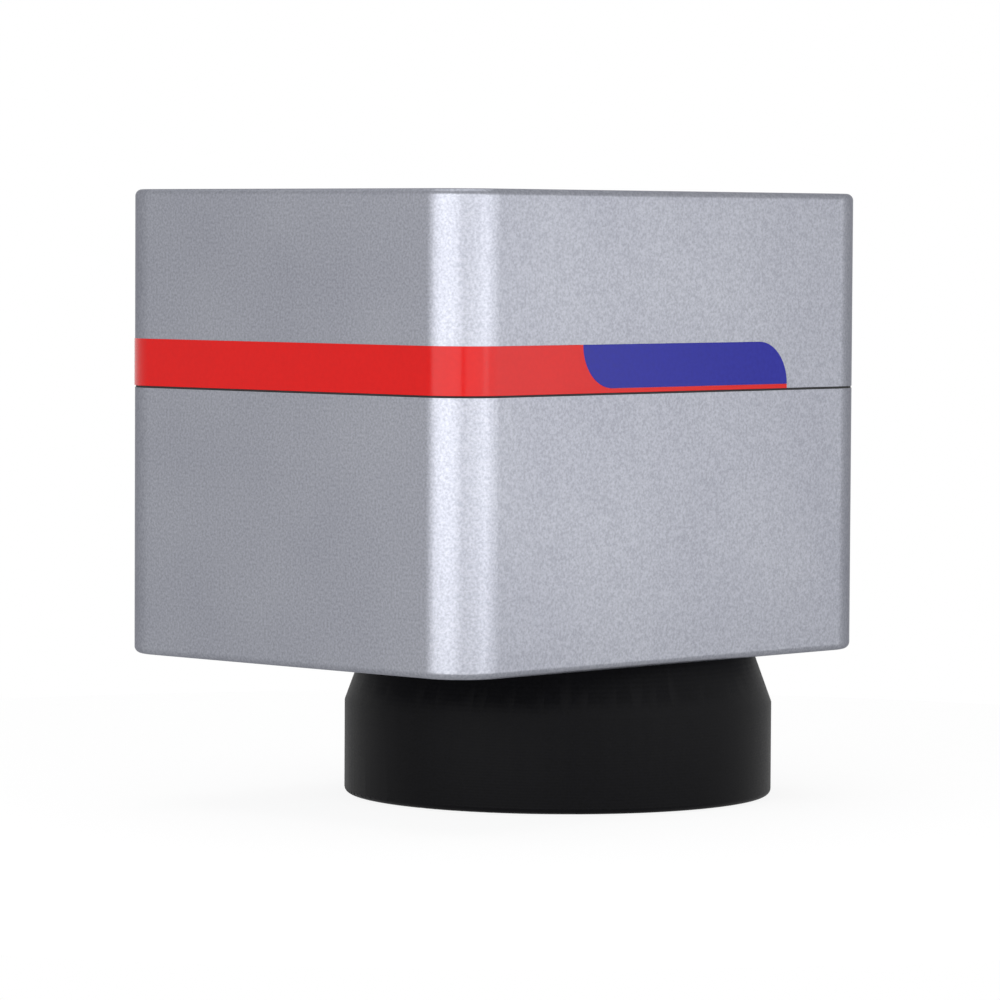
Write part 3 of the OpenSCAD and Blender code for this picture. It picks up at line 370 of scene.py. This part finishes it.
def woven(name, node, grids, capped=False):
    """A closed mesh over grids of points in mm, counted as grid, row and column.

    Each point is joined to the next in its row and to the one below it. The columns close on
    themselves. The rows close too, or each grid's first and last row are filled by a face.
    """
    index = np.arange(grids[..., 0].size).reshape(grids.shape[:3])
    here, there = index, np.roll(index, -1, axis=1)
    if capped:
        here, there = index[:, :-1], index[:, 1:]
    quads = np.stack((here, np.roll(here, -1, axis=2), np.roll(there, -1, axis=2), there),
                     axis=-1)
    faces = quads.reshape(-1, 4).tolist()
    if capped:
        faces += index[:, 0, ::-1].tolist() + index[:, -1].tolist()
    mesh = bpy.data.meshes.new(name)
    mesh.from_pydata((grids.reshape(-1, 3) * MM).tolist(), [], faces)
    settle(shown(name, mesh), node)


def round_about_x(centres, along, radius, around):
    """Rings about lines parallel to X.

    A point lies at its ring's X, and off the line by the radius times cosine and sine. centres
    holds Y and Z per line, along one X per ring, and radius one row per ring, with one value or
    one per angle.
    """
    turn = np.linspace(0.0, 2 * np.pi, around, endpoint=False)
    radius = np.broadcast_to(radius, (len(along), around))
    level = np.broadcast_to(np.reshape(along, (-1, 1)), radius.shape)
    rings = np.stack((level, radius * np.cos(turn), radius * np.sin(turn)), axis=-1)
    shift = np.column_stack((np.zeros(len(centres)), centres))
    return rings[None] + shift[:, None, None, :]


def threaded_power_shell():
    """Round socket shell: flange, thread with a chamfered end, and a key inside the bore.

    On the thread the radius falls from the crest by half the depth times one minus the cosine
    of the phase, and the phase is one turn per pitch along X less the angle. From the chamfer
    on, the radius is at most the crest less the slope times the distance. The key lowers the
    bore's radius over a narrow angle at its top.
    """
    around = 96
    crest, depth, pitch = 6.0, 0.45, 1.0
    thread_from, thread_to, thread_rings = 2.3, 7.4, 62
    chamfer_x, chamfer_slope = 6.9, 0.9
    bore, key, key_half_angle = 4.8, 0.6, 0.2
    key_front, key_back = 6.6, 1.9
    turn = np.linspace(0.0, 2 * np.pi, around, endpoint=False)
    thread_x = np.linspace(thread_from, thread_to, thread_rings)
    past_chamfer = np.maximum(thread_x[:, None] - chamfer_x, 0.0)
    phase = 2 * np.pi * thread_x[:, None] / pitch - turn
    thread = np.minimum(crest - depth * (1 - np.cos(phase)) / 2,
                        crest - chamfer_slope * past_chamfer)
    keyed = bore - key * (np.abs(turn - np.pi / 2) < key_half_angle)
    # X and radius: the sleeve in the wall, the flange and the neck, then the thread, the rim,
    # and the bore with its key
    profile = [(-10.0, 5.7), (-9.7, crest), (0.0, crest), (0.0, 8.05), (0.15, 8.2), (1.45, 8.2),
               (1.6, 8.05), (1.6, 5.5), (2.1, 5.5)]
    profile += zip(thread_x, thread)
    profile += [(7.75, 5.3), (8.0, 5.1), (8.0, 4.95), (7.85, bore), (key_front, bore),
                (key_front, keyed), (key_back, keyed), (key_back, bore), (-10.0, bore)]
    along = [x for x, _ in profile]
    radius = np.stack([np.broadcast_to(r, around) for _, r in profile])
    centre = np.array([POWER_AXIS[1][1:]]) / MM
    woven("threaded_power_shell", "power_shell", round_about_x(centre, along, radius, around))


def contact_pins(node, centres, radius):
    """Round pins with a chamfered tail and a rounded tip that ends in a small flat.

    The tip is an ellipse from 0 to 80 degrees: the radius times cosine, and the length times
    sine over the sine of the last angle.
    """
    around, nose_steps, last_deg = 16, 6, 80.0
    chamfer_long, chamfer_deep = 0.15, 0.1
    nose_per_radius = 1.4
    nose = nose_per_radius * radius
    low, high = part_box(node)
    tail, tip = low.x / MM, high.x / MM
    bend = np.linspace(0.0, np.radians(last_deg), nose_steps)
    along = np.concatenate(([tail, tail + chamfer_long],
                            tip - nose + nose * np.sin(bend) / np.sin(bend[-1])))
    section = np.concatenate(([radius - chamfer_deep, radius], radius * np.cos(bend)))
    woven(node + "_round_nosed", node, round_about_x(centres, along, section[:, None], around),
          capped=True)


def squeezed_gasket():
    """Rubber strip between the two rims, with a round lip that swells almost to their faces.

    Its outline is a rectangle with rounded corners: a corner's centre plus the corner radius
    less the inset, at each angle. Its section is a half ellipse outside and a straight wall
    inside. On the ellipse the inset is the least one plus the swell times one minus cosine, and
    the level is the middle of the gap plus half the gap times sine.
    """
    corner_steps, lip_steps = 13, 9
    least_inset, swell, wall_inset = 0.15, 0.25, 2.5
    low, high = (np.array(corner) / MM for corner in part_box("top_cover"))
    gap_low, gap_high = (corner.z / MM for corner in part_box("cover_gasket"))
    quarter = np.linspace(0.0, np.pi / 2, corner_steps)
    angle = (quarter + np.arange(4)[:, None] * np.pi / 2).ravel()
    sign = np.repeat([[1, 1], [-1, 1], [-1, -1], [1, -1]], corner_steps, axis=0)
    corner = (low + high)[:2] / 2 + sign * ((high - low)[:2] / 2 - CORNER_MM)
    bulge = np.linspace(-np.pi / 2, np.pi / 2, lip_steps)
    inset = np.concatenate((least_inset + swell * (1 - np.cos(bulge)), [wall_inset] * 2))
    half = (gap_high - gap_low) / 2
    level = (gap_high + gap_low) / 2 + half * np.concatenate((np.sin(bulge), [1.0, -1.0]))
    spoke = np.stack((np.cos(angle), np.sin(angle)), axis=-1)
    ring = (CORNER_MM - inset)[:, None, None] * spoke + corner
    upright = np.broadcast_to(level[:, None, None], ring.shape[:2] + (1,))
    woven("squeezed_gasket", "cover_gasket", np.concatenate((ring, upright), axis=-1)[None])


def in_a_row(count, pitch):
    """Places along a row of pins about its middle: the pitch times the count from there."""
    return pitch * (np.arange(count) - (count - 1) / 2)


# Places of the signal pins in mm, as Y and Z: two rows, one this far above the middle of the port
# and one as far below it
SIGNAL_ROWS, SIGNAL_PITCH, SIGNAL_RISE = (13, 12), 2.76, 1.42
signal_low, signal_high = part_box("signal_pins")
signal_middle = np.array((signal_low + signal_high)[1:]) / 2 / MM
SIGNAL_PINS = signal_middle + np.column_stack(
    (np.concatenate([in_a_row(count, SIGNAL_PITCH) for count in SIGNAL_ROWS]),
     np.repeat([SIGNAL_RISE, -SIGNAL_RISE], SIGNAL_ROWS)))

# Places of the four power pins, on a circle of this radius in mm
POWER_CIRCLE = 2.5
quarter_turns = np.arange(4) * np.pi / 2
POWER_PINS = np.array([POWER_AXIS[1][1:]]) / MM + POWER_CIRCLE * np.column_stack(
    (np.sin(quarter_turns), np.cos(quarter_turns)))

# Width in mm of the round on the sharp edges of each part that shows
EDGE_MM = {
    "lower_housing": 0.2, "top_cover": 0.2, "side_stripe": 0.04, "label_tab": 0.04,
    "beam_inlet_ring": 0.2, "lens_barrel": 0.2, "window_ring": 0.15,
    "signal_shell": 0.12, "signal_jackposts": 0.25, "cover_screws": 0.2,
}

# Nodes that a computed piece stands for
WOVEN = ("power_shell", "signal_pins", "power_pins", "cover_gasket")

for name, width in EDGE_MM.items():
    broken_edges(name, width)
threaded_power_shell()
contact_pins("signal_pins", SIGNAL_PINS, radius=0.5)
contact_pins("power_pins", POWER_PINS, radius=0.6)
squeezed_gasket()

for name, node in nodes.items():
    if name not in EDGE_MM and name not in WOVEN:
        node.data.materials.clear()
        node.data.materials.append(finish_of(name))


# ---- stage ----

# Round table: its radius, its sides, and how far it lies under the lens, in metres
TABLE_RADIUS, TABLE_SIDES, TABLE_DROP = 0.25, 96, 0.0002

# Where the paper is seen, this share of it glows at this strength, and the rest shows the light
# that falls on it
GLOW_SHARE, GLOW_STRENGTH = 0.8, 1.1

# Strength of the white world where it only lights the head
FILL = 0.2

# Lamps about the middle of the head: bearing in degrees, then distance, height and the lamp's
# own width and height in metres, then radiance, which at 1 all round shows a colour as written
SOFTBOXES = {
    "front_softbox": (189.4, 1.0, 0.05, 1.29, 0.8, 3.0),
    "label_side_softbox": (254.7, 1.0, 0.0, 0.95, 0.86, 2.1),
    "far_softbox": (293.2, 1.0, -0.15, 0.87, 0.9, 1.85),
    "overhead_softbox": (60.0, 0.2, 1.2, 1.2, 1.2, 1.2),
}

# Camera: place in metres, yaw, pitch and roll in degrees, and focal length in mm
CAMERA_PLACE = (-0.83015, -0.73821, 0.05001)
CAMERA_TURN_DEG = (43.3437, -2.9292, 0.3069)
CAMERA_LENS = 186.01


def white_when_seen(tree):
    """One where a ray from the camera, a reflection or a passage through glass ends, else zero."""
    rays = add(tree, "ShaderNodeLightPath")
    mirrored = add(tree, "ShaderNodeMath", {"operation": "MAXIMUM"}, None,
                   {0: rays.outputs["Is Camera Ray"], 1: rays.outputs["Is Glossy Ray"]})
    seen = add(tree, "ShaderNodeMath", {"operation": "MAXIMUM"}, None,
               {0: mirrored.outputs[0], 1: rays.outputs["Is Transmission Ray"]})
    return seen.outputs[0]


def paper_floor():
    """A round table of white paper under the rim of the lens.

    It keeps a faint shadow and is clear from below. Its edge is a circle about the middle of the
    head: the radius times cosine and sine.
    """
    turn = np.linspace(0.0, 2 * np.pi, TABLE_SIDES, endpoint=False)
    rim = np.stack((HEAD_MIDDLE.x + TABLE_RADIUS * np.cos(turn),
                    HEAD_MIDDLE.y + TABLE_RADIUS * np.sin(turn),
                    np.full(TABLE_SIDES, barrel_low.z - TABLE_DROP)), axis=1)
    mesh = bpy.data.meshes.new("studio_floor")
    mesh.from_pydata(rim.tolist(), [], [tuple(range(TABLE_SIDES))])
    floor = bpy.data.objects.new("studio_floor", mesh)
    bpy.context.scene.collection.objects.link(floor)
    material = bpy.data.materials.new("white_paper")
    material.use_nodes = True
    tree = material.node_tree
    paper = tree.nodes["Principled BSDF"]
    paper.inputs["Base Color"].default_value = srgb("#F4F4F4")
    paper.inputs["Roughness"].default_value = 0.9
    glow = add(tree, "ShaderNodeEmission", None, {"Strength": GLOW_STRENGTH})
    share = add(tree, "ShaderNodeMath", {"operation": "MULTIPLY"}, {1: GLOW_SHARE},
                {0: white_when_seen(tree)})
    lit = add(tree, "ShaderNodeMixShader", None, None,
              {0: share.outputs[0], 1: paper.outputs[0], 2: glow.outputs[0]})
    clear = add(tree, "ShaderNodeBsdfTransparent")
    below = add(tree, "ShaderNodeNewGeometry").outputs["Backfacing"]
    sided = add(tree, "ShaderNodeMixShader", None, None,
                {0: below, 1: lit.outputs[0], 2: clear.outputs[0]})
    tree.links.new(sided.outputs[0], tree.nodes["Material Output"].inputs["Surface"])
    mesh.materials.append(material)


def white_surround():
    """A world that is white where it is seen, in metal and through glass too, else a weak fill."""
    world = bpy.data.worlds.new("studio")
    world.use_nodes = True
    tree = world.node_tree
    background = tree.nodes["Background"]
    strength = add(tree, "ShaderNodeMapRange", None, {"To Min": FILL, "To Max": 1.0},
                   {"Value": white_when_seen(tree)})
    tree.links.new(strength.outputs["Result"], background.inputs["Strength"])
    background.inputs["Color"].default_value = srgb("#FFFFFF")
    bpy.context.scene.world = world


def softbox(name, bearing_deg, distance, height, width, tall, radiance):
    """A rectangular lamp aimed at the middle of the head; its power is pi x radiance x area."""
    bearing = math.radians(bearing_deg)
    lamp = bpy.data.lights.new(name, "AREA")
    lamp.shape = "RECTANGLE"
    lamp.size, lamp.size_y = width, tall
    lamp.energy = math.pi * radiance * width * tall
    holder = bpy.data.objects.new(name, lamp)
    outward = Vector((math.cos(bearing) * distance, math.sin(bearing) * distance, height))
    holder.location = HEAD_MIDDLE + outward
    facing = holder.location - HEAD_MIDDLE
    holder.rotation_euler = facing.to_track_quat("Z", "Y").to_euler()
    holder.visible_camera = False
    bpy.context.scene.collection.objects.link(holder)


def studio_camera():
    """A long lens above the beam's level, turned to the corner of front and labelled side."""
    yaw, pitch, roll = (math.radians(angle) for angle in CAMERA_TURN_DEG)
    ahead = Vector((math.cos(yaw) * math.cos(pitch), math.sin(yaw) * math.cos(pitch),
                    math.sin(pitch)))
    level = Vector((math.sin(yaw), -math.cos(yaw), 0.0))
    rise = level.cross(ahead)
    side = level * math.cos(roll) + rise * math.sin(roll)
    top = rise * math.cos(roll) - level * math.sin(roll)
    camera = bpy.data.objects.new("studio_camera", bpy.data.cameras.new("studio_camera"))
    camera.data.sensor_width = 36.0
    camera.data.lens = CAMERA_LENS
    camera.data.clip_start, camera.data.clip_end = 0.01, 50.0
    turn = Matrix((side, top, -ahead)).transposed()
    camera.matrix_world = Matrix.Translation(CAMERA_PLACE) @ turn.to_4x4()
    bpy.context.scene.collection.objects.link(camera)
    bpy.context.scene.camera = camera


paper_floor()
white_surround()
for name, setting in SOFTBOXES.items():
    softbox(name, *setting)
studio_camera()
bpy.context.scene.view_settings.view_transform = "Standard"
